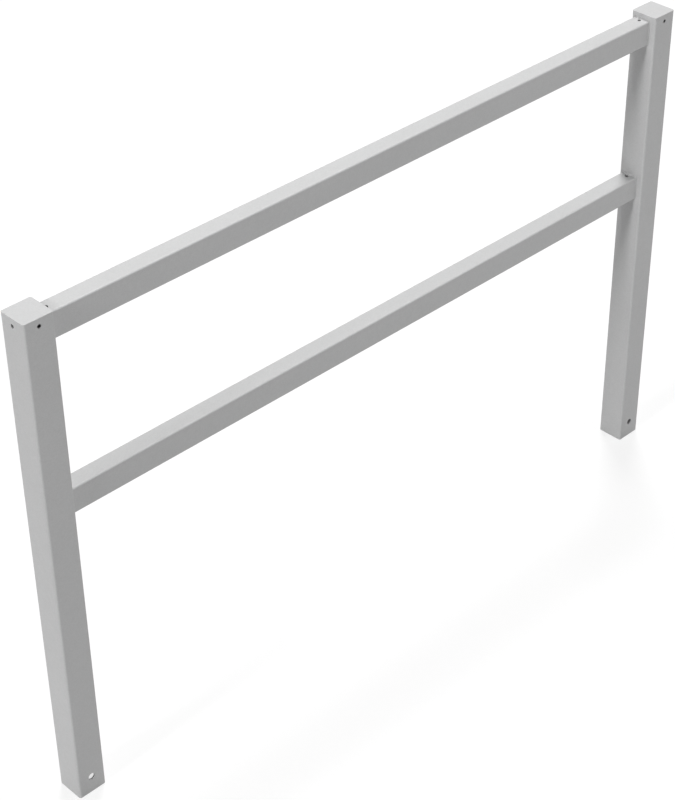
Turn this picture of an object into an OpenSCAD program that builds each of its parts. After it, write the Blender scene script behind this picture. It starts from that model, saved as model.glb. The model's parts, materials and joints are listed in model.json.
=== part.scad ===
// Steel path barrier: two square posts that are set in the ground, joined by two
// rectangular rails, all of hot-dip galvanised tube with welded joints.
// X runs along the rails, the front is -Y, and Z = 0 is the open foot of the posts.

/* [Overall] */
// Clear width between the two posts
clear_w = 2000; // [1000:10:2500]
// Height of the post tops above the ground
above_ground = 1000; // [800:10:1200]
// Length of each post that is set in the ground
in_ground = 400; // [250:10:600]

/* [Posts] */
// Side of the square post tube
post_side = 80; // [80:1:120]
// Wall thickness of the post tube
post_wall = 4; // [2:0.5:5]
// Outside corner radius of the post tube
post_round = 6; // [5.5:0.5:10]
// Thickness of the plate that closes the top of a post
cap_t = 5; // [3:0.5:8]
// Edge break around the top of the cap plate
cap_edge = 0.8; // [0.2:0.1:1.5]

/* [Rails] */
// Height of the rail tube's section
rail_h = 70; // [50:1:90]
// Depth of the rail tube's section, from front to back
rail_d = 50; // [30:1:50]
// Wall thickness of the rail tube
rail_wall = 3; // [2:0.5:4]
// Outside corner radius of the rail tube
rail_round = 4.5; // [4.5:0.5:9]
// Step from the front face of the posts back to the front face of the rails
rail_setback = 20; // [10:1:20]
// Step from the post tops down to the top face of the upper rail
upper_rail_drop = 15; // [15:1:60]
// Height of the lower rail's middle above the ground
lower_rail_rise = 475; // [150:5:700]

/* [Welds] */
// Leg length of the fillet weld around each rail end
weld_leg = 3; // [2.5:0.5:6]
// Height of the weld's crown over a flat face
weld_crown = 0.4; // [0.2:0.1:0.8]

/* [Holes] */
// Diameter of the vent holes that the zinc bath needs
vent_d = 10; // [6:1:14]
// Steel left between the underside of a cap and a post's vent hole
post_vent_land = 10; // [5:1:40]
// Steel left between the toe of a weld and a rail's vent hole
rail_vent_land = 4; // [2:1:40]
// Diameter of the cross hole near the foot, which takes the ground anchor rod
anchor_d = 18; // [10:1:26]
// Height of the anchor hole's centre above the foot
anchor_rise = 50; // [25:1:150]

/* [Hidden] */
$fn = 96;
// A cutter reaches this far past the face that it cuts
past = 1;
zinc = [0.70, 0.71, 0.72];
zinc_dark = [0.62, 0.63, 0.64];

post_h = in_ground + above_ground;
tube_h = post_h - cap_t;
post_x = clear_w / 2 + post_side / 2;

rail_y = -post_side / 2 + rail_setback + rail_d / 2;
upper_rail_z = post_h - upper_rail_drop - rail_h / 2;
lower_rail_z = in_ground + lower_rail_rise;
rail_end_x = clear_w / 2;

post_vent_z = tube_h - post_vent_land - vent_d / 2;
rail_vent_x = rail_end_x - weld_leg - rail_vent_land - vent_d / 2;

// Rounded rectangle about the origin, w along x and d along y
module rounded_outline(w, d, r) {
    square([w - 2 * r, d], center = true);
    square([w, d - 2 * r], center = true);
    for (x = [-1, 1], y = [-1, 1])
        translate([x * (w / 2 - r), y * (d / 2 - r)]) circle(r = r);
}

// Rolled and welded tube of rounded section, standing on z = 0
module tube(w, d, r, wall, length) {
    linear_extrude(height = length)
        difference() {
            rounded_outline(w, d, r);
            rounded_outline(w - 2 * wall, d - 2 * wall, r - wall);
        }
}

// Post tube with its outer side at -X: open foot, an anchor hole through front and
// back, and a vent hole in the front wall and in the outer wall under the cap
module post_tube() {
    difference() {
        tube(post_side, post_side, post_round, post_wall, tube_h);
        translate([0, 0, anchor_rise]) rotate([90, 0, 0])
            cylinder(d = anchor_d, h = post_side + 2 * past, center = true);
        for (turn = [0, -90])
            rotate([0, 0, turn]) translate([0, -post_side / 2 - past, post_vent_z])
                rotate([-90, 0, 0]) cylinder(d = vent_d, h = post_wall + 2 * past);
    }
}

// Bar with its two long top edges broken, across the plate between two corners
module cap_bar() {
    half = post_side / 2;
    rotate([90, 0, 0])
        linear_extrude(height = post_side - 2 * post_round, center = true)
            polygon([
                [-half, 0], [half, 0], [half, cap_t - cap_edge], [half - cap_edge, cap_t],
                [cap_edge - half, cap_t], [-half, cap_t - cap_edge]
            ]);
}

// Cap plate, cut to the tube's own outline and welded and ground flush
module cap_plate() {
    cap_bar();
    rotate([0, 0, 90]) cap_bar();
    for (turn = [0:90:270])
        rotate([0, 0, turn])
            translate([post_side / 2 - post_round, post_side / 2 - post_round, 0])
                rotate_extrude(angle = 90)
                    polygon([
                        [0, 0], [post_round, 0], [post_round, cap_t - cap_edge],
                        [post_round - cap_edge, cap_t], [0, cap_t]
                    ]);
}

// Rail tube about its own middle, with a vent hole in the top wall near each end
module rail_tube() {
    difference() {
        rotate([90, 0, 90]) translate([0, 0, -rail_end_x])
            tube(rail_d, rail_h, rail_round, rail_wall, 2 * rail_end_x);
        for (x = [-rail_vent_x, rail_vent_x])
            translate([x, 0, rail_h / 2 - rail_wall - past])
                cylinder(d = vent_d, h = rail_wall + 2 * past);
    }
}

// Section of a fillet weld: x out from the rail, y along the rail from the post's face.
// Its face is an arc through both toes, which bulges by the crown.
module weld_section() {
    chord = weld_leg * sqrt(2);
    face_r = (chord * chord / 4 + weld_crown * weld_crown) / (2 * weld_crown);
    back_off = (face_r - weld_crown) / sqrt(2) - weld_leg / 2;
    intersection() {
        square(weld_leg);
        translate([-back_off, -back_off]) circle(r = face_r);
    }
}

// Fillet weld around the end of a rail, on the inner face of the left post: four straight
// runs along the rail's sides, and four that turn around its corners
module rail_weld() {
    sides = [[rail_d / 2, rail_h - 2 * rail_round], [rail_h / 2, rail_d - 2 * rail_round]];
    translate([-rail_end_x, rail_y, 0]) rotate([90, 0, 90])
        for (k = [0:3])
            rotate([0, 0, 90 * k]) {
                reach = sides[k % 2][0];
                length = sides[k % 2][1];
                translate([reach, length / 2, 0]) rotate([90, 0, 0])
                    linear_extrude(height = length) weld_section();
                translate([reach - rail_round, length / 2, 0])
                    rotate_extrude(angle = 90)
                        translate([rail_round, 0]) weld_section();
            }
}

module left_post() { color(zinc) translate([-post_x, 0, 0]) post_tube(); }
module right_post() { color(zinc) mirror([1, 0, 0]) translate([-post_x, 0, 0]) post_tube(); }
module left_cap() { color(zinc) translate([-post_x, 0, tube_h]) cap_plate(); }
module right_cap() { color(zinc) translate([post_x, 0, tube_h]) cap_plate(); }
module upper_rail() { color(zinc) translate([0, rail_y, upper_rail_z]) rail_tube(); }
module lower_rail() { color(zinc) translate([0, rail_y, lower_rail_z]) rail_tube(); }
module upper_left_weld() { color(zinc_dark) translate([0, 0, upper_rail_z]) rail_weld(); }
module upper_right_weld() { mirror([1, 0, 0]) upper_left_weld(); }
module lower_left_weld() { color(zinc_dark) translate([0, 0, lower_rail_z]) rail_weld(); }
module lower_right_weld() { mirror([1, 0, 0]) lower_left_weld(); }

left_post();
right_post();
left_cap();
right_cap();
upper_rail();
lower_rail();
upper_left_weld();
upper_right_weld();
lower_left_weld();
lower_right_weld();
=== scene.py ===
"""Steel path barrier: two square posts and two rails of hot-dip galvanised tube.

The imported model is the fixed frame. Every tube, cap and weld is made here again as one closed
surface in the place that its CAD node holds, with softened cut edges and rippled weld beads.
Lengths are in metres: X runs along the rails, the front is -Y, and Z = 0 is the foot.
"""

import json
import logging
import math
from collections.abc import Mapping, Sequence
from dataclasses import dataclass
from enum import Enum

import bmesh
import bpy
import numpy as np
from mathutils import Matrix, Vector

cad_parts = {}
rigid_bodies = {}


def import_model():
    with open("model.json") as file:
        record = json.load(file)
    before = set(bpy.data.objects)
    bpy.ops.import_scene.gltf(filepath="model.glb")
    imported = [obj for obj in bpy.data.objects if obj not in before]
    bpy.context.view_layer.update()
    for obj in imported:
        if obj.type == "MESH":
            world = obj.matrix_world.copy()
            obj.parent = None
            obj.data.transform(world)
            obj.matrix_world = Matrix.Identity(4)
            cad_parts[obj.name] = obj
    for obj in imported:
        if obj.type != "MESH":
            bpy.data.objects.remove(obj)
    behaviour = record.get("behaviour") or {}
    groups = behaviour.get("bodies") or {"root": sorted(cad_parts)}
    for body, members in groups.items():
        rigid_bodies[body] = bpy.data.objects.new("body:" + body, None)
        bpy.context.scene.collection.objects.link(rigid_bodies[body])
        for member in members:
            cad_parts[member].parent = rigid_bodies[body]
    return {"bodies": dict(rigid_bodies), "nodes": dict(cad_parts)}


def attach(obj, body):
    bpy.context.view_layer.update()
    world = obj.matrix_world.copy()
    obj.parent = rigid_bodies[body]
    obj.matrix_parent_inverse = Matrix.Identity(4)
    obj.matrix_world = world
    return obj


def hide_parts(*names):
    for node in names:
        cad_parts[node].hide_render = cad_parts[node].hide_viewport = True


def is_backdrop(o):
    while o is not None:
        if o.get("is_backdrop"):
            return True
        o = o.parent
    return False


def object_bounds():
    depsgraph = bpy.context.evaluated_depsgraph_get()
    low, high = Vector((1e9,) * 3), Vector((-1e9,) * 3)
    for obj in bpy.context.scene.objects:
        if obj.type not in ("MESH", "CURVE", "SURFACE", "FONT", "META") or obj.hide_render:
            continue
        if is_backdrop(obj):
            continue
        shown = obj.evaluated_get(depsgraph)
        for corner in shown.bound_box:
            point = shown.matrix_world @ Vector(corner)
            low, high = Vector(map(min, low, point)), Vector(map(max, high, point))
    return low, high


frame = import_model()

LOG = logging.getLogger("barrier")

MM = 0.001
QUARTER_TURN = math.pi / 2
# Where the front of the barrier looks, in degrees from +X towards +Y
FRONT_AZIMUTH = -90.0
STEEL_SLOT = "galvanised_steel"
WELD_SLOT = "galvanised_weld"
WHITE = (1.0, 1.0, 1.0, 1.0)
# Sockets of a Mix node for colours, which go by number because their names repeat
FIRST_COLOUR = 6
SECOND_COLOUR = 7
MIXED_COLOUR = 2


class End(Enum):
    """Which post a piece belongs to, with the sign of its X."""

    LEFT = -1
    RIGHT = 1


class Face(Enum):
    """The four flats of a tube, with how many quarter turns its normal is from the first axis."""

    PLUS_FIRST = 0
    PLUS_SECOND = 1
    MINUS_FIRST = 2
    MINUS_SECOND = 3


class Skin(Enum):
    """What the zinc lies on. In the valleys of a weld bead it is rougher, and darker from painted
    shade.
    """

    SMOOTH_STEEL = "smooth steel"
    WELD_BEAD = "weld bead"


def quarter_arc(steps: int) -> np.ndarray:
    """Angles in radians that split a quarter turn into even steps, both ends among them."""
    return np.linspace(0.0, QUARTER_TURN, steps + 1)


def distinct(values: Sequence[float] | np.ndarray) -> np.ndarray:
    """Lengths in rising order, without those that repeat within a thousandth of a millimetre."""
    step = MM / 1000
    return np.unique(np.round(np.asarray(values) / step)) * step


def add_object(name: str, data: bpy.types.ID) -> bpy.types.Object:
    """Adds an object with its mesh, lamp or camera to the scene.

    Args:
        name: The object's name.
        data: What it shows.

    Returns:
        The new object.
    """
    made = bpy.data.objects.new(name, data)
    bpy.context.scene.collection.objects.link(made)
    return made


def sky_direction(azimuth: float, elevation: float) -> Vector:
    """Unit vector towards the sky, at degrees from +X towards +Y and above the horizon."""
    turn, rise = math.radians(azimuth), math.radians(elevation)
    return Vector((
        math.cos(turn) * math.cos(rise), math.sin(turn) * math.cos(rise), math.sin(rise)
    ))


def add_piece(
    name: str,
    points: np.ndarray,
    quads: np.ndarray,
    triangles: np.ndarray | None = None,
    attributes: Mapping[str, np.ndarray] | None = None,
) -> bpy.types.Object:
    """Puts a closed surface into a new object at the origin, smooth, with its faces outwards.

    Args:
        name: The piece's name.
        points: One row of x, y and z for each vertex.
        quads: One row of four vertex numbers for each face.
        triangles: One row of three vertex numbers for each face round a pole.
        attributes: Numbers for each vertex, by name, for the materials to read.

    Returns:
        The new object, linked to the scene.
    """
    faces = quads.tolist() + ([] if triangles is None else triangles.tolist())
    mesh = bpy.data.meshes.new(name)
    mesh.from_pydata(points.tolist(), [], faces)
    work = bmesh.new()
    work.from_mesh(mesh)
    bmesh.ops.recalc_face_normals(work, faces=work.faces)
    work.to_mesh(mesh)
    work.free()
    mesh.polygons.foreach_set("use_smooth", np.ones(len(mesh.polygons), dtype=bool))
    for key, values in (attributes or {}).items():
        layer = mesh.attributes.new(key, "FLOAT", "POINT")
        layer.data.foreach_set("value", values.astype(np.float32))
    mesh.update()
    return add_object(name, mesh)


def ring_quads(inner: np.ndarray, outer: np.ndarray) -> np.ndarray:
    """Faces between two closed loops, given as vertex numbers in step with each other."""
    return np.stack([inner, np.roll(inner, -1), np.roll(outer, -1), outer], axis=1)


def vertex_numbers(rows: int, columns: int, first: int = 0) -> np.ndarray:
    """Numbers of a grid's vertices, which are counted row by row from the first."""
    return first + np.arange(rows * columns).reshape(rows, columns)


def closed_cells(number: np.ndarray) -> np.ndarray:
    """Four vertex numbers for each cell of a grid that closes on itself both ways."""
    after = np.roll(number, -1, axis=0)
    return np.stack(
        [number, np.roll(number, -1, axis=1), np.roll(after, -1, axis=1), after], axis=-1
    )


@dataclass(frozen=True)
class Placing:
    """Where a section's two axes and its length point in the row frame."""

    origin: tuple[float, float, float]
    first: tuple[float, float, float]
    second: tuple[float, float, float]
    along: tuple[float, float, float]

    def place(self, section: np.ndarray, height: np.ndarray) -> np.ndarray:
        """Points in the row frame: origin + a times first + b times second + height times along.

        Args:
            section: The two section coordinates on the last axis.
            height: The place along the length, one for each point.

        Returns:
            x, y and z on the last axis.
        """
        axes = np.array([self.first, self.second, self.along])
        local = np.concatenate([section, height[..., None]], axis=-1)
        return np.array(self.origin) + local @ axes

    def turn(self, direction: np.ndarray) -> np.ndarray:
        """A direction of the section in the row frame: a times first + b times second."""
        return direction @ np.array([self.first, self.second])


@dataclass(frozen=True)
class Outline:
    """Rounded rectangle that tubes, plates and beads follow."""

    width: float
    depth: float
    radius: float

    def reach(self, side: int) -> float:
        """Distance from the middle to the flat on a side."""
        return (self.depth if side % 2 else self.width) / 2

    def flat_half(self, side: int) -> float:
        """Half the length of the flat on a side, without the corners."""
        return (self.width if side % 2 else self.depth) / 2 - self.radius

    def normal(self, side: int) -> np.ndarray:
        """Unit vector out of a side."""
        angle = side * QUARTER_TURN
        return np.array([math.cos(angle), math.sin(angle)])

    def tangent(self, side: int) -> np.ndarray:
        """Unit vector along a side, a quarter turn on from its normal."""
        angle = (side + 1) * QUARTER_TURN
        return np.array([math.cos(angle), math.sin(angle)])

    def loop(
        self, flats: Sequence[np.ndarray], arc_steps: int
    ) -> tuple[np.ndarray, np.ndarray, list[int]]:
        """Stations round the outline: the rectangle of corner centres, and the normal at each.

        A point at an inset from the outline is core + normal x (radius - inset). On a flat the
        core moves and the normal stands still, and round a corner it is the other way about.

        Args:
            flats: For each side, the places along its flat, from end to end.
            arc_steps: How many steps each corner has.

        Returns:
            The cores, the normals and the number of the station at which each side starts.
        """
        cores, normals, starts = [], [], []
        count = 0
        for side in range(4):
            out, along, places = self.normal(side), self.tangent(side), flats[side]
            base = out * (self.reach(side) - self.radius)
            cores.append(base + along * places[:, None])
            normals.append(np.broadcast_to(out, (len(places), 2)))
            turn = side * QUARTER_TURN + quarter_arc(arc_steps)[1:-1]
            corner = base + along * self.flat_half(side)
            cores.append(np.broadcast_to(corner, (len(turn), 2)))
            normals.append(np.stack([np.cos(turn), np.sin(turn)], axis=1))
            starts.append(count)
            count += len(places) + len(turn)
        return np.concatenate(cores), np.concatenate(normals), starts


@dataclass(frozen=True)
class Hole:
    """Round hole through one wall of a tube, on the middle line of a flat."""

    face: Face
    height: float
    radius: float


@dataclass(frozen=True)
class TubeShell:
    """Rounded tube with real walls, softened cut ends and zinc-softened holes, as one surface.

    The outline is carried along a closed path that runs up the outer wall, over the far end,
    down the inner wall and back over the near end: at the path's step t the surface lies at
    inset(t) from the outline and at height(t) along the tube. Round each hole a square block
    of that grid is left out of both walls, and a sleeve of rings joins the two square edges
    through the hole.

    A support is a narrow strip beside a rounded edge, which keeps the flat next to it flat in
    smooth shading. The slack is how far a line may be off when it is looked up by its place.
    """

    outline: Outline
    placing: Placing
    wall: float
    length: float
    near_lip: float
    far_lip: float
    holes: tuple[Hole, ...]
    block_half: float
    hole_lip: float = 0.5 * MM
    support: float = 0.3 * MM
    slack: float = 0.03 * MM
    arc_steps: int = 8
    lip_steps: int = 4
    block_steps: int = 12

    def block_places(self) -> np.ndarray:
        """Places across a hole's block: half x tan(angle), so that their directions are even."""
        angles = np.linspace(-QUARTER_TURN / 2, QUARTER_TURN / 2, self.block_steps + 1)
        return self.block_half * np.tan(angles)

    def block_span(self, lines: np.ndarray, middle: float) -> np.ndarray:
        """Numbers of the first and last line of the block round a middle, among the grid's lines."""
        ends = middle + self.block_places()[[0, -1]]
        return np.searchsorted(lines, ends - self.slack)

    def flats(self) -> list[np.ndarray]:
        """Places along each side's flat: its ends, a support line by each, and the blocks' lines.

        Returns:
            The places on each of the four sides, in rising order.
        """
        found = []
        for side in range(4):
            half = self.outline.flat_half(side)
            ends = [-half, self.support - half, half - self.support, half]
            found.append(distinct(np.concatenate([ends, self.block_places()])))
        return found

    def rows(self) -> np.ndarray:
        """Heights of the grid's rows on both walls, between the two lips.

        Returns:
            The heights, in rising order.
        """
        near, far = self.near_lip, self.length - self.far_lip
        ends = [near, near + self.support, far - self.support, far]
        blocks = [hole.height + self.block_places() for hole in self.holes]
        return distinct(np.concatenate([ends, *blocks]))

    def end_path(self, lip: float) -> tuple[np.ndarray, np.ndarray]:
        """Path over a cut end: a quarter round, the flat of the cut, and a quarter round.

        Args:
            lip: Radius of both quarter rounds.

        Returns:
            Insets from the outline, and rises from the plane of the cut, which are below 0.
        """
        arc = quarter_arc(self.lip_steps)
        insets = np.concatenate([
            lip * (1 - np.cos(arc[1:])),
            [lip + self.support, self.wall - lip - self.support],
            self.wall - lip + lip * np.sin(arc[:-1]),
        ])
        rises = np.concatenate([
            lip * (np.sin(arc[1:]) - 1), [0.0, 0.0], lip * (np.cos(arc[:-1]) - 1)
        ])
        return insets, rises

    def sleeve_rings(self) -> tuple[np.ndarray, np.ndarray]:
        """Rings through a hole: a quarter round, the bore, and a quarter round.

        Returns:
            Distances added to the hole's radius, and insets into the wall.
        """
        lip, arc = self.hole_lip, quarter_arc(self.lip_steps)
        added = np.concatenate([
            [lip + self.support], lip * (1 - np.sin(arc)), [0.0, 0.0],
            lip * (1 - np.cos(arc)), [lip + self.support]
        ])
        insets = np.concatenate([
            [0.0], lip * (1 - np.cos(arc)), [lip + self.support, self.wall - lip - self.support],
            self.wall - lip + lip * np.sin(arc), [self.wall]
        ])
        return added, insets

    def sleeve(
        self, hole: Hole, outer: np.ndarray, inner: np.ndarray, points: np.ndarray, first: int
    ) -> tuple[np.ndarray, np.ndarray]:
        """Surface between the square edges on the two walls, through the hole.

        Each ring is middle + (radius + added) x direction, where the direction points at the
        square's own vertex, so that the rings turn from square to round without a twist.

        Args:
            hole: The hole.
            outer: Vertex numbers round the square on the outer wall.
            inner: Vertex numbers round the square on the inner wall, in step with those.
            points: Vertices of the grid so far.
            first: The number that the sleeve's first new vertex gets.

        Returns:
            The new vertices, and the faces.
        """
        side = hole.face.value
        out, along = self.outline.normal(side), self.outline.tangent(side)
        middle = self.placing.place(
            out * self.outline.reach(side), np.array(hole.height)
        )
        across, inward = self.placing.turn(along), self.placing.turn(-out)
        up = np.array(self.placing.along)
        edge = points[outer] - middle
        angle = np.arctan2(edge @ up, edge @ across)
        ray = np.cos(angle)[:, None] * across + np.sin(angle)[:, None] * up
        added, insets = self.sleeve_rings()
        rings = (
            middle
            + (hole.radius + added)[:, None, None] * ray
            + insets[:, None, None] * inward
        )
        outer_step = (points[outer] + rings[0]) / 2
        inner_step = (points[inner] + rings[-1]) / 2
        rings = np.concatenate([outer_step[None], rings, inner_step[None]])
        numbers = vertex_numbers(len(rings), len(outer), first)
        loops = [outer, *numbers, inner]
        faces = [ring_quads(a, b) for a, b in zip(loops[:-1], loops[1:])]
        return rings.reshape(-1, 3), np.concatenate(faces)

    def build(self, name: str) -> bpy.types.Object:
        """Makes the tube's surface.

        Args:
            name: The piece's name.

        Returns:
            The new object.
        """
        flats, rows = self.flats(), self.rows()
        core, normal, starts = self.outline.loop(flats, self.arc_steps)
        far_inset, far_rise = self.end_path(self.far_lip)
        near_inset, near_rise = self.end_path(self.near_lip)
        inset = np.concatenate([
            np.zeros(len(rows)), far_inset, np.full(len(rows), self.wall), near_inset[::-1]
        ])
        height = np.concatenate([
            rows, self.length + far_rise, rows[::-1], -near_rise[::-1]
        ])
        section = core + normal * (self.outline.radius - inset)[:, None, None]
        grid_height = np.broadcast_to(height[:, None], section.shape[:2])
        points = self.placing.place(section, grid_height).reshape(-1, 3)
        steps, stations = section.shape[:2]
        number = vertex_numbers(steps, stations)
        cells = closed_cells(number)
        kept = np.ones((steps, stations), dtype=bool)
        inner_last = 2 * len(rows) + len(far_inset) - 1
        parts, faces = [points], []
        count = len(points)
        for hole in self.holes:
            side = hole.face.value
            left, right = starts[side] + self.block_span(flats[side], 0.0)
            low, high = self.block_span(rows, hole.height)
            kept[low:high, left:right] = False
            kept[inner_last - high:inner_last - low, left:right] = False
            row = np.concatenate([
                np.full(right - left, low), np.arange(low, high),
                np.full(right - left, high), np.arange(high, low, -1)
            ])
            column = np.concatenate([
                np.arange(left, right), np.full(high - low, right),
                np.arange(right, left, -1), np.full(high - low, left)
            ])
            outer, inner = number[row, column], number[inner_last - row, column]
            more, sleeve_faces = self.sleeve(hole, outer, inner, points, count)
            parts.append(more)
            faces.append(sleeve_faces)
            count += len(more)
        return add_piece(
            name, np.concatenate(parts), np.concatenate([cells[kept], *faces])
        )


@dataclass(frozen=True)
class CapPlate:
    """Plate with the tube's outline, whose top edge is broken and whose weld is ground flush.

    Rings of the outline run from the middle of the underside, round the rim, to the middle of
    the top: at each step the surface is at scale x (core + normal x (radius - inset)) and at
    height. Both middles are closed by a fan. The inner rings, which keep the fans small, are
    the outline scaled down.
    """

    outline: Outline
    placing: Placing
    thickness: float
    edge: float
    seam: float
    support: float = 0.3 * MM
    arc_steps: int = 8
    edge_steps: int = 6
    seam_steps: int = 3
    under_ring: float = 0.5
    top_rings: tuple[float, float] = (0.9, 0.45)

    def rim_path(self) -> tuple[np.ndarray, np.ndarray, np.ndarray]:
        """Rings from the middle of the underside, over the seam and the top edge, to the top.

        Returns:
            Scale, inset and height of each ring.
        """
        seam_arc, edge_arc = quarter_arc(self.seam_steps), quarter_arc(self.edge_steps)
        low = self.seam * (1 - np.sin(seam_arc))
        high = self.edge * (1 - np.cos(edge_arc))
        inset = np.concatenate([
            [self.seam + self.support] * 2, low, [0.0, 0.0], high,
            [self.edge + self.support] * 3
        ])
        height = np.concatenate([
            [0.0, 0.0], self.seam * (1 - np.cos(seam_arc)),
            [self.seam + self.support, self.thickness - self.edge - self.support],
            self.thickness - self.edge * (1 - np.sin(edge_arc)),
            [self.thickness] * 3
        ])
        scale = np.ones(len(inset))
        scale[0] = self.under_ring
        scale[-2:] = self.top_rings
        return scale, inset, height

    def build(self, name: str) -> bpy.types.Object:
        """Makes the plate's surface.

        Args:
            name: The piece's name.

        Returns:
            The new object.
        """
        halves = [self.outline.flat_half(side) for side in range(4)]
        flats = [
            np.array([-half, self.support - half, 0.0, half - self.support, half])
            for half in halves
        ]
        core, normal, _ = self.outline.loop(flats, self.arc_steps)
        scale, inset, height = self.rim_path()
        section = core + normal * (self.outline.radius - inset)[:, None, None]
        section = section * scale[:, None, None]
        heights = np.broadcast_to(height[:, None], section.shape[:2])
        rings = self.placing.place(section, heights)
        poles = self.placing.place(np.zeros((2, 2)), np.array([0.0, self.thickness]))
        steps, stations = section.shape[:2]
        number = vertex_numbers(steps, stations)
        quads = np.concatenate([
            ring_quads(number[k], number[k + 1]) for k in range(steps - 1)
        ])
        fans = []
        for pole, loop in ((0, number[0]), (1, number[-1])):
            centre = np.full(stations, steps * stations + pole)
            fans.append(np.stack([loop, np.roll(loop, -1), centre], axis=1))
        points = np.concatenate([rings.reshape(-1, 3), poles])
        return add_piece(name, points, quads, np.concatenate(fans))


@dataclass(frozen=True)
class WeldBead:
    """Rippled fillet weld round the end of a rail.

    The section runs from the toe on the rail to the toe on the post, and is closed behind by
    the root. Its face is the chord between the toes, raised by a crown of 4t(1 - t) and by
    ripples. A ripple is |sin| of a phase that grows along the run and lags towards the toes,
    so that each one is a crescent. Whole sine waves round the rail make the legs uneven. Where
    the run closes on itself a lap rises and a crater sinks, each as exp(-distance squared).
    """

    outline: Outline
    placing: Placing
    leg: float
    crown: float
    seed: int
    # Uneven legs: their share of the leg, and how many whole waves go round the rail
    unevenness: float = 0.07
    wave_counts: tuple[int, ...] = (2, 5, 9, 16, 27)
    # Ripples: length, height, the level of |sin| that leaves the face where it is, its power,
    # how far the phase wanders along the run and lags at the toes, and how uneven they are
    pitch: float = 1.8 * MM
    ripple: float = 0.17 * MM
    ripple_middle: float = 0.6
    ripple_power: float = 0.8
    drift: float = 0.8
    lag: float = 0.55
    ripple_unevenness: float = 0.25
    # Power with which ripples and lap fade out towards the toes
    fade_power: float = 0.6
    # Lap: height, the part of the run that it may lie in, and length
    overlap: float = 0.45 * MM
    lap_range: tuple[float, float] = (0.8, 0.84)
    lap_length: float = 5 * MM
    # Crater: length, how many of those lengths it lies past the lap, and share of the lap's height
    crater_length: float = 1.6 * MM
    crater_offset: float = 2.2
    crater_share: float = 0.8
    # The bead reaches this far into rail and post, so that no gap shows
    sink: float = 0.05 * MM
    station_step: float = 0.3 * MM
    face_steps: int = 14

    def waves(self, turn: np.ndarray, random: np.random.Generator) -> np.ndarray:
        """Sum of whole sine waves round the run, from -1 to 1, which closes on itself.

        Args:
            turn: Place round the run, from 0 to 1.
            random: Where the phases come from.

        Returns:
            The wave's height at each place.
        """
        counts = np.array(self.wave_counts)
        sizes = 1 / np.sqrt(counts)
        phases = random.uniform(0, 2 * math.pi, len(counts))
        waves = np.sin(2 * math.pi * turn[:, None] * counts + phases) @ sizes
        return waves / sizes.sum()

    def build(self, name: str) -> bpy.types.Object:
        """Makes the bead's surface, with an attribute that is 1 in the valleys between ripples.

        Args:
            name: The piece's name.

        Returns:
            The new object.
        """
        random = np.random.default_rng(self.seed)
        arc_steps = math.ceil(QUARTER_TURN * self.outline.radius / self.station_step)
        flats = []
        for side in range(4):
            half = self.outline.flat_half(side)
            flats.append(np.linspace(-half, half, math.ceil(2 * half / self.station_step) + 1))
        core, normal, _ = self.outline.loop(flats, arc_steps)
        on_rail = core + normal * self.outline.radius
        gaps = np.linalg.norm(np.roll(on_rail, -1, axis=0) - on_rail, axis=1)
        run = gaps.sum()
        turn = np.concatenate([[0.0], np.cumsum(gaps)[:-1]]) / run
        count = round(run / self.pitch)
        drift = self.waves(turn, random) * self.drift
        up_leg = self.leg * (1 + self.unevenness * self.waves(turn, random))
        out_leg = self.leg * (1 + self.unevenness * self.waves(turn, random))
        past_start = (turn - random.uniform(*self.lap_range)) * run
        lap = np.exp(-(past_start / self.lap_length) ** 2)
        crater = np.exp(-(past_start / self.crater_length - self.crater_offset) ** 2)
        t = np.linspace(0, 1, self.face_steps + 1)
        lag = self.lag * (2 * t - 1) ** 2
        phase = count * turn[:, None] + drift[:, None] - lag
        scallop = np.abs(np.sin(math.pi * phase)) ** self.ripple_power
        arch = 4 * t * (1 - t)
        fade = arch ** self.fade_power
        rough = 1 + self.ripple_unevenness * self.waves(turn, random)
        bulge = (
            self.crown * arch
            + self.ripple * rough[:, None] * (scallop - self.ripple_middle) * fade
            + self.overlap * (lap - self.crater_share * crater)[:, None] * fade
        )
        out = up_leg[:, None] * t + bulge / math.sqrt(2)
        along = out_leg[:, None] * (1 - t) + bulge / math.sqrt(2)
        root = np.full((len(turn), 1), -self.sink)
        out = np.concatenate([out - self.sink, root], axis=1)
        along = np.concatenate([along - self.sink, root], axis=1)
        section = on_rail[:, None] + normal[:, None] * out[..., None]
        points = self.placing.place(section, along)
        quads = closed_cells(vertex_numbers(*out.shape))
        valley = np.concatenate([(1 - scallop) * fade, np.zeros_like(root)], axis=1)
        return add_piece(
            name, points.reshape(-1, 3), quads.reshape(-1, 4),
            attributes={"valley": valley.ravel()},
        )


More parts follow.
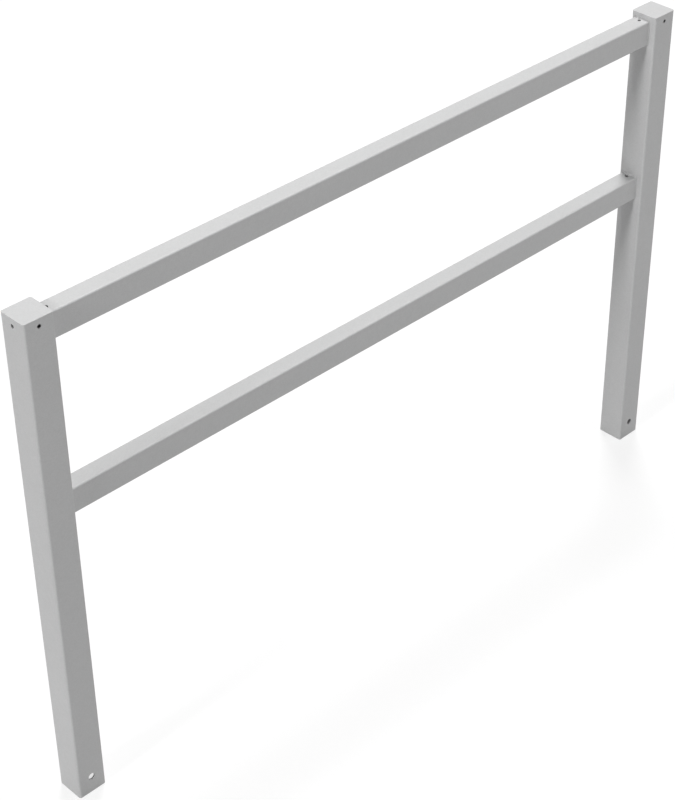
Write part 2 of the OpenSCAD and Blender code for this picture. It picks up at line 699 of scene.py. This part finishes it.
class Value:
    """A number that varies over a surface: one socket, with Python's operators."""

    def __init__(self, sheet: "NodeSheet", socket: bpy.types.NodeSocket) -> None:
        """Wraps an output socket of a node on a sheet."""
        self.sheet = sheet
        self.socket = socket

    def _math(self, operation: str, first: "Value | float", second: "Value | float") -> "Value":
        """Adds a Math node with two operands."""
        return self.sheet.node("ShaderNodeMath", {"operation": operation}, {0: first, 1: second})

    def __add__(self, other: "Value | float") -> "Value":
        """This + other."""
        return self._math("ADD", self, other)

    def __radd__(self, other: float) -> "Value":
        """Other + this."""
        return self._math("ADD", other, self)

    def __sub__(self, other: "Value | float") -> "Value":
        """This - other."""
        return self._math("SUBTRACT", self, other)

    def __rsub__(self, other: float) -> "Value":
        """Other - this."""
        return self._math("SUBTRACT", other, self)

    def __mul__(self, other: "Value | float") -> "Value":
        """This x other."""
        return self._math("MULTIPLY", self, other)

    def __rmul__(self, other: float) -> "Value":
        """Other x this."""
        return self._math("MULTIPLY", other, self)

    def size(self) -> "Value":
        """This without its sign."""
        return self._math("ABSOLUTE", self, 0.0)

    def least(self, other: "Value | float") -> "Value":
        """The smaller of this and other."""
        return self._math("MINIMUM", self, other)

    def most(self, other: "Value | float") -> "Value":
        """The larger of this and other."""
        return self._math("MAXIMUM", self, other)

    def step(self, low: float, high: float) -> "Value":
        """0 at low, 1 at high, and a smooth slope between them, which may fall instead of rise."""
        return self.sheet.node(
            "ShaderNodeMapRange",
            {"interpolation_type": "SMOOTHSTEP"},
            {"Value": self, "From Min": low, "From Max": high},
        )


@dataclass
class NodeSheet:
    """The nodes of one material or world."""

    tree: bpy.types.NodeTree

    def node(
        self,
        kind: str,
        settings: Mapping[str, object] | None = None,
        inputs: Mapping[str | int, object] | None = None,
        output: str | int = 0,
    ) -> Value:
        """Adds a node, sets it up and links it.

        Args:
            kind: The node's type.
            settings: The node's own properties, which are set first.
            inputs: Values or links of its sockets, by name or number.
            output: The socket to return, by name or number.

        Returns:
            The chosen output.
        """
        made = self.tree.nodes.new(kind)
        for key, value in (settings or {}).items():
            setattr(made, key, value)
        for key, value in (inputs or {}).items():
            if isinstance(value, Value):
                self.tree.links.new(value.socket, made.inputs[key])
            else:
                made.inputs[key].default_value = value
        socket = made.outputs[output] if len(made.outputs) else None
        return Value(self, socket)

    def place(self) -> Value:
        """The point's place in the row frame."""
        return self.node("ShaderNodeTexCoord", output="Object")

    def noise(self, place: Value, size: float, detail: float, roughness: float = 0.5) -> Value:
        """Cloudy noise from 0 to 1, with the rough size of its largest lumps, and finer layers."""
        inputs = {"Vector": place, "Scale": 1 / size, "Detail": detail, "Roughness": roughness}
        return self.node("ShaderNodeTexNoise", {"noise_dimensions": "3D"}, inputs)

    def crystals(self, place: Value, size: float) -> Value:
        """One random number from 0 to 1 for each crystal, which lie about a size apart."""
        colour = self.node(
            "ShaderNodeTexVoronoi", {"voronoi_dimensions": "3D", "feature": "F1"},
            {"Vector": place, "Scale": 1 / size}, "Color",
        )
        return self.node("ShaderNodeSeparateColor", None, {"Color": colour}, "Red")

    def mix_shaders(self, factor: Value | float, first: Value, second: Value) -> Value:
        """The first shader where the factor is 0, and the second where it is 1."""
        return self.node("ShaderNodeMixShader", None, {0: factor, 1: first, 2: second})


def grey(level: float) -> tuple[float, float, float, float]:
    """A neutral grey."""
    return (level, level, level, 1.0)


def new_material(name: str) -> tuple[bpy.types.Material, NodeSheet]:
    """Adds an empty node material.

    Args:
        name: The material's name.

    Returns:
        The material, and its sheet of nodes.
    """
    material = bpy.data.materials.new(name)
    material.use_nodes = True
    material.node_tree.nodes.clear()
    return material, NodeSheet(material.node_tree)


@dataclass(frozen=True)
class EdgeFrame:
    """The box whose long edges are rubbed, as its middle and half sizes across those edges.

    The rub is at its full from the edge to a share of its reach, full_share.
    """

    axes: tuple[str, str]
    middle: tuple[float, float]
    half: tuple[float, float]
    mirrored: bool = False
    full_share: float = 0.15

    def nearness(self, sheet: NodeSheet, place: Value, reach: float) -> Value:
        """1 on the long edges, falling to 0 a little way in over both faces.

        The smaller of the two distances from the middle, each less its half size, rises to 0
        only where both faces meet.

        Args:
            sheet: Where the nodes go.
            place: The point's place.
            reach: How far the rubbed band reaches from the edge.

        Returns:
            The mask.
        """
        split = [
            sheet.node("ShaderNodeSeparateXYZ", None, {"Vector": place}, axis)
            for axis in self.axes
        ]
        if self.mirrored:
            split[0] = split[0].size()
        gaps = [
            (split[k] - self.middle[k]).size() - self.half[k] for k in range(2)
        ]
        return gaps[0].least(gaps[1]).step(-reach, -self.full_share * reach)


@dataclass(frozen=True)
class ZincFinish:
    """Matt hot-dip zinc: fine crystals, a mottled grain, and slow clouds from the bath.

    The tone is even + the sum of (layer - even) x its sway, over the crystals, their patches,
    the grain and the clouds. It picks a grey between dark and light.
    """

    skin: Skin
    dark: float = 0.545
    light: float = 0.635
    cast: float = 0.002
    metallic: float = 0.1
    roughness: float = 0.58
    even: float = 0.5
    # Size of each layer's lumps, and of the swells that only the relief has
    crystal: float = 2.6 * MM
    patch: float = 11 * MM
    grain: float = 1.1 * MM
    cloud: float = 190 * MM
    swell: float = 24 * MM
    # How far the crystals' borders wander, in crystals
    wander: float = 0.8
    # How far each layer sways the tone
    crystal_tone: float = 0.45
    patch_tone: float = 0.12
    grain_tone: float = 0.7
    cloud_tone: float = 0.35
    # How far crystals and grain sway the roughness
    crystal_rough: float = 0.12
    grain_rough: float = 0.1
    # Relief: the height of each layer, and the strength of the whole
    grain_height: float = 0.06 * MM
    patch_height: float = 0.03 * MM
    swell_height: float = 0.25 * MM
    relief: float = 0.5
    # Rub on the long edges: its reach, the size of its patches, where in their noise it starts
    # and is at its full, and how much lighter and smoother it makes the zinc
    edge_reach: float = 5 * MM
    rub_patch: float = 9 * MM
    rub_range: tuple[float, float] = (0.3, 0.7)
    rub_tone: float = 0.18
    rub_smooth: float = 0.1
    # Weld bead: painted shade in its valleys, how much rougher they are, and the lumps on it
    valley_shade: float = 0.5
    valley_rough: float = 0.1
    lump: float = 2.5 * MM
    lump_height: float = 0.12 * MM

    def tint(self, level: float) -> tuple[float, float, float, float]:
        """A neutral grey with the faintest cool cast of zinc."""
        return (level * (1 - self.cast), level, level * (1 + self.cast), 1.0)

    def material(self, name: str, edges: EdgeFrame | None = None) -> bpy.types.Material:
        """Makes the node material.

        Args:
            name: The material's name.
            edges: The long edges that handling has rubbed, if the piece has any.

        Returns:
            The material.
        """
        material, sheet = new_material(name)
        place = sheet.place()
        # A noise whose lumps are two crystals wide nudges the crystals' borders
        wander = sheet.node(
            "ShaderNodeTexNoise", {"noise_dimensions": "3D"},
            {"Vector": place, "Scale": 1 / (2 * self.crystal), "Detail": 1.0}, "Color",
        )
        nudge = sheet.node(
            "ShaderNodeVectorMath", {"operation": "MULTIPLY_ADD"},
            {0: wander, 1: (self.crystal * self.wander,) * 3, 2: place},
        )
        crystal = sheet.crystals(nudge, self.crystal)
        patch = sheet.crystals(nudge, self.patch)
        grain = sheet.noise(place, self.grain, detail=3.0, roughness=0.6)
        cloud = sheet.noise(place, self.cloud, detail=2.0)
        swell = sheet.noise(place, self.swell, detail=1.0)
        tone = (
            self.even
            + (crystal - self.even) * self.crystal_tone
            + (patch - self.even) * self.patch_tone
            + (grain - self.even) * self.grain_tone
            + (cloud - self.even) * self.cloud_tone
        )
        rough = (
            self.roughness
            + (crystal - self.even) * self.crystal_rough
            + (grain - self.even) * self.grain_rough
        )
        height = (
            grain * self.grain_height + patch * self.patch_height + swell * self.swell_height
        )
        if edges is not None:
            rub = edges.nearness(sheet, place, self.edge_reach)
            rub = rub * sheet.noise(place, self.rub_patch, detail=2.0).step(*self.rub_range)
            tone = tone + rub * self.rub_tone
            rough = rough - rub * self.rub_smooth
        if self.skin is Skin.WELD_BEAD:
            valley = sheet.node(
                "ShaderNodeAttribute", {"attribute_name": "valley"}, None, "Fac"
            )
            # Painted shade darkens the valleys between the ripples
            tone = tone - valley * self.valley_shade
            rough = rough + valley * self.valley_rough
            height = height + sheet.noise(place, self.lump, detail=2.0) * self.lump_height
        colour = sheet.node("ShaderNodeMix", {"data_type": "RGBA"}, {
            "Factor": tone,
            FIRST_COLOUR: self.tint(self.dark),
            SECOND_COLOUR: self.tint(self.light),
        }, MIXED_COLOUR)
        bump = sheet.node(
            "ShaderNodeBump", None,
            {"Strength": self.relief, "Distance": 1.0, "Height": height},
        )
        shader = sheet.node("ShaderNodeBsdfPrincipled", None, {
            "Base Color": colour, "Roughness": rough, "Metallic": self.metallic, "Normal": bump,
        })
        sheet.node("ShaderNodeOutputMaterial", None, {"Surface": shader})
        return material


@dataclass(frozen=True)
class Sizes:
    """The barrier's own sizes, as its source states them, and those that only this file has.

    The latter are the two lips, which are the radii of the rounded cut ends, and the two
    blocks, which are half the sides of the squares left out of the grid round each hole.
    """

    clear_width: float = 2000 * MM
    post_height: float = 1400 * MM
    post_side: float = 80 * MM
    post_wall: float = 4 * MM
    post_round: float = 6 * MM
    cap_thickness: float = 5 * MM
    cap_edge: float = 0.8 * MM
    rail_height: float = 70 * MM
    rail_depth: float = 50 * MM
    rail_wall: float = 3 * MM
    rail_round: float = 4.5 * MM
    rail_setback: float = 20 * MM
    upper_rail_drop: float = 15 * MM
    lower_rail_z: float = 875 * MM
    weld_leg: float = 3 * MM
    weld_crown: float = 0.4 * MM
    vent_radius: float = 5 * MM
    post_vent_land: float = 10 * MM
    rail_vent_land: float = 4 * MM
    anchor_radius: float = 9 * MM
    anchor_rise: float = 50 * MM
    foot_lip: float = 0.5 * MM
    seam_lip: float = 0.15 * MM
    post_block: float = 12 * MM
    rail_block: float = 9 * MM

    @property
    def post_x(self) -> float:
        """Distance from the middle to a post's own middle."""
        return (self.clear_width + self.post_side) / 2

    @property
    def tube_height(self) -> float:
        """Height of the post tube under its cap."""
        return self.post_height - self.cap_thickness

    @property
    def rail_y(self) -> float:
        """Place of the rails' middle from front to back."""
        return (self.rail_depth - self.post_side) / 2 + self.rail_setback

    @property
    def upper_rail_z(self) -> float:
        """Height of the upper rail's middle."""
        return self.post_height - self.upper_rail_drop - self.rail_height / 2

    @property
    def post_outline(self) -> Outline:
        """Section of a post, which its cap shares."""
        return Outline(self.post_side, self.post_side, self.post_round)

    @property
    def rail_outline(self) -> Outline:
        """Section of a rail, from back to front and from below to above."""
        return Outline(self.rail_depth, self.rail_height, self.rail_round)


@dataclass
class SubAssembly:
    """A part of the barrier that gives its pieces their finish and puts them on the body."""

    sizes: Sizes

    def fit(
        self, piece: bpy.types.Object, node: str, slot: str, material: bpy.types.Material
    ) -> None:
        """Dresses a piece and lets it stand for its CAD node.

        Args:
            piece: The finished piece.
            node: The CAD node that it stands for.
            slot: The record's material slot.
            material: Its finish.
        """
        piece.data.materials.append(material)
        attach(piece, "root")
        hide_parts(node)
        LOG.info("%s: %d faces, %s", piece.name, len(piece.data.polygons), slot)


@dataclass
class Post(SubAssembly):
    """One post: a square tube with an open foot, and the plate that closes its top."""

    end: End

    def placing(self, height: float) -> Placing:
        """Upright placing on the post's middle line, from a height upwards."""
        x = self.end.value * self.sizes.post_x
        return Placing((x, 0.0, height), (1, 0, 0), (0, 1, 0), (0, 0, 1))

    def holes(self) -> tuple[Hole, ...]:
        """The anchor hole through front and back, and the vents in the front and outer walls.

        Returns:
            One hole for each wall that is pierced.
        """
        s = self.sizes
        outer = Face.MINUS_FIRST if self.end is End.LEFT else Face.PLUS_FIRST
        vent_height = s.tube_height - s.post_vent_land - s.vent_radius
        return (
            Hole(Face.MINUS_SECOND, s.anchor_rise, s.anchor_radius),
            Hole(Face.PLUS_SECOND, s.anchor_rise, s.anchor_radius),
            Hole(Face.MINUS_SECOND, vent_height, s.vent_radius),
            Hole(outer, vent_height, s.vent_radius),
        )

    def build(self, tube_finish: bpy.types.Material, cap_finish: bpy.types.Material) -> None:
        """Makes the tube and the cap.

        Args:
            tube_finish: The finish of the tube.
            cap_finish: The finish of the cap.
        """
        s, side = self.sizes, self.end.name.lower()
        tube = TubeShell(
            outline=s.post_outline, placing=self.placing(0.0), wall=s.post_wall,
            length=s.tube_height, near_lip=s.foot_lip, far_lip=s.seam_lip,
            holes=self.holes(), block_half=s.post_block,
        ).build(f"{side}_post_tube")
        self.fit(tube, f"{side}_post", STEEL_SLOT, tube_finish)
        cap = CapPlate(
            outline=s.post_outline, placing=self.placing(s.tube_height),
            thickness=s.cap_thickness, edge=s.cap_edge, seam=s.seam_lip,
        ).build(f"{side}_post_cap")
        self.fit(cap, f"{side}_cap", STEEL_SLOT, cap_finish)


@dataclass
class Rail(SubAssembly):
    """One rail: a rectangular tube between the posts, and the weld at each of its ends."""

    name: str
    height: float

    def build(self, tube_finish: bpy.types.Material, bead_finish: bpy.types.Material) -> None:
        """Makes the tube and its two welds.

        Args:
            tube_finish: The finish of the tube.
            bead_finish: The finish of the welds.
        """
        s = self.sizes
        half = s.clear_width / 2
        start = (-half, s.rail_y, self.height)
        vent = s.weld_leg + s.rail_vent_land + s.vent_radius
        tube = TubeShell(
            outline=s.rail_outline,
            placing=Placing(start, (0, 1, 0), (0, 0, 1), (1, 0, 0)),
            wall=s.rail_wall, length=s.clear_width, near_lip=s.foot_lip, far_lip=s.foot_lip,
            holes=(
                Hole(Face.PLUS_SECOND, vent, s.vent_radius),
                Hole(Face.PLUS_SECOND, s.clear_width - vent, s.vent_radius),
            ),
            block_half=s.rail_block,
        ).build(f"{self.name}_rail_tube")
        self.fit(tube, f"{self.name}_rail", STEEL_SLOT, tube_finish)
        for end in End:
            side = end.name.lower()
            joint = (end.value * half, s.rail_y, self.height)
            bead = WeldBead(
                outline=s.rail_outline,
                placing=Placing(joint, (0, 1, 0), (0, 0, 1), (-end.value, 0, 0)),
                leg=s.weld_leg, crown=s.weld_crown,
                seed=round(self.height / MM) + end.value,
            ).build(f"{self.name}_{side}_bead")
            self.fit(bead, f"{self.name}_{side}_weld", WELD_SLOT, bead_finish)


@dataclass(frozen=True)
class PaleFloor:
    """White floor that keeps the object's shadow, is clear from below and lets the fill through.

    Seen directly it is a mix of white paint, which takes the shadow, and a glow of the given
    brightness. To other light it is a grey whose level is the bounce.
    """

    half: float = 40.0
    bounce: float = 0.4
    white: float = 1.0
    glow: float = 0.72
    brightness: float = 1.06

    def build(self) -> None:
        """Makes the floor, which isn't part of the object."""
        signs = [(-1, -1), (1, -1), (1, 1), (-1, 1)]
        mesh = bpy.data.meshes.new("floor")
        mesh.from_pydata([(x * self.half, y * self.half, 0.0) for x, y in signs], [], [range(4)])
        floor = add_object("floor", mesh)
        material, sheet = new_material("pale_floor")
        bounce = sheet.node("ShaderNodeBsdfDiffuse", None, {"Color": grey(self.bounce)})
        paint = sheet.node("ShaderNodeBsdfDiffuse", None, {"Color": grey(self.white)})
        glow = sheet.node(
            "ShaderNodeEmission", None, {"Color": WHITE, "Strength": self.brightness}
        )
        looked_at = seen_directly(sheet)
        surface = sheet.mix_shaders(looked_at, bounce, sheet.mix_shaders(self.glow, paint, glow))
        behind = sheet.node("ShaderNodeNewGeometry", output="Backfacing")
        clear = sheet.node("ShaderNodeBsdfTransparent")
        both = sheet.mix_shaders(behind * looked_at, surface, clear)
        sheet.node("ShaderNodeOutputMaterial", None, {"Surface": both})
        mesh.materials.append(material)
        floor.visible_shadow = False
        floor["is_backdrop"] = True
        LOG.info("floor: pale, %g m across", 2 * self.half)


def seen_directly(sheet: NodeSheet) -> Value:
    """1 for rays that the viewer sees, also in gloss and through glass, and 0 for other light."""
    rays = [
        sheet.node("ShaderNodeLightPath", output=f"Is {kind} Ray")
        for kind in ("Camera", "Glossy", "Transmission")
    ]
    return rays[0].most(rays[1]).most(rays[2])


@dataclass(frozen=True)
class SoftLamp:
    """A soft lamp, so far away that it lights all of the barrier alike.

    It shines from its azimuth, counted in degrees from +X towards +Y, and its elevation. The
    width is the angle that it fills in the sky.
    """

    name: str
    energy: float
    azimuth: float
    elevation: float
    width: float

    def build(self) -> None:
        """Makes the lamp and turns it."""
        lamp = bpy.data.lights.new(self.name, "SUN")
        lamp.energy = self.energy
        lamp.angle = math.radians(self.width)
        holder = add_object(self.name, lamp)
        holder.rotation_mode = "QUATERNION"
        towards = sky_direction(self.azimuth, self.elevation)
        holder.rotation_quaternion = towards.to_track_quat("Z", "Y")
        LOG.info("%s: energy %g, %g degrees wide", self.name, self.energy, self.width)


@dataclass(frozen=True)
class StudioLight:
    """Soft light: six lamps that shine down on the barrier, and a weak fill from below.

    The sky is white to look at, and gives no light of its own.
    """

    lamps: tuple[SoftLamp, ...] = (
        SoftLamp("low_key_lamp", 0.97, 183.0, 24.0, 6.0),
        SoftLamp("high_key_lamp", 0.54, 178.0, 40.0, 8.0),
        SoftLamp("back_left_lamp", 0.32, 155.0, 45.0, 40.0),
        SoftLamp("front_lamp", 0.73, 285.0, 15.0, 20.0),
        SoftLamp("high_front_right_lamp", 0.40, 315.0, 60.0, 20.0),
        SoftLamp("high_back_lamp", 1.80, 45.0, 65.0, 16.0),
        SoftLamp("low_fill", 0.26, 192.0, -12.0, 9.0),
    )

    def build(self) -> None:
        """Sets up the sky and the lamps."""
        world = bpy.data.worlds.new("studio")
        world.use_nodes = True
        world.node_tree.nodes.clear()
        sheet = NodeSheet(world.node_tree)
        sky = sheet.node(
            "ShaderNodeBackground", None, {"Color": WHITE, "Strength": seen_directly(sheet)}
        )
        sheet.node("ShaderNodeOutputWorld", None, {"Surface": sky})
        bpy.context.scene.world = world
        LOG.info("sky: white where it is seen")
        for lamp in self.lamps:
            lamp.build()


@dataclass(frozen=True)
class PhotoCamera:
    """Camera at the photograph's angle, fitted to the barrier's edges in it.

    At azimuth 0 it looks along +Y. The lens is in millimetres, and shifts are in lengths of
    the frame's longer side.
    """

    azimuth: float = -45.0
    elevation: float = 35.264
    distance: float = 5.222
    aim_height: float = 0.7
    lens: float = 90.96
    shift_x: float = -0.0520
    shift_y: float = -0.0233
    nearest: float = 0.1
    farthest: float = 200.0

    def build(self) -> None:
        """Makes the camera and sets it as the scene's."""
        data = bpy.data.cameras.new("photo_camera")
        data.lens = self.lens
        data.shift_x, data.shift_y = self.shift_x, self.shift_y
        data.clip_start, data.clip_end = self.nearest, self.farthest
        camera = add_object("photo_camera", data)
        back = sky_direction(FRONT_AZIMUTH + self.azimuth, self.elevation)
        camera.location = Vector((0.0, 0.0, self.aim_height)) + back * self.distance
        camera.rotation_mode = "QUATERNION"
        camera.rotation_quaternion = (-back).to_track_quat("-Z", "Y")
        bpy.context.scene.camera = camera
        LOG.info("camera: %g m away, lens %g mm", self.distance, self.lens)


def clear_startup() -> None:
    """Removes what Blender's own start-up scene holds, so that only the frame is left."""
    ours = {*frame["bodies"].values(), *frame["nodes"].values()}
    for thing in list(bpy.data.objects):
        if thing not in ours:
            bpy.data.objects.remove(thing)


def corners() -> list[list[float]]:
    """Lowest and highest corner of what is shown, as plain lists."""
    bpy.context.view_layer.update()
    return [list(corner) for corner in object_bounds()]


def main() -> None:
    logging.basicConfig(level=logging.INFO, format="%(name)s: %(message)s")
    clear_startup()
    cad_box = corners()
    bpy.context.scene.view_settings.view_transform = "Standard"
    PhotoCamera().build()
    StudioLight().build()
    PaleFloor().build()
    sizes = Sizes()
    post_edges = EdgeFrame(
        ("X", "Y"), (sizes.post_x, 0.0), (sizes.post_side / 2,) * 2, mirrored=True
    )
    steel_zinc = ZincFinish(Skin.SMOOTH_STEEL)
    bead_zinc = ZincFinish(Skin.WELD_BEAD, dark=0.51, light=0.60)
    post_finish = steel_zinc.material("zinc_on_post", post_edges)
    cap_finish = steel_zinc.material("zinc_on_cap", post_edges)
    bead_finish = bead_zinc.material("zinc_on_weld")
    for end in End:
        Post(sizes, end).build(post_finish, cap_finish)
    for name, height in (("upper", sizes.upper_rail_z), ("lower", sizes.lower_rail_z)):
        edges = EdgeFrame(
            ("Y", "Z"), (sizes.rail_y, height), (sizes.rail_depth / 2, sizes.rail_height / 2)
        )
        rail_finish = steel_zinc.material(f"zinc_on_{name}_rail", edges)
        Rail(sizes, name, height).build(rail_finish, bead_finish)
    json.dumps({"cad": cad_box, "visual": corners()})


if __name__ == "__main__":
    main()
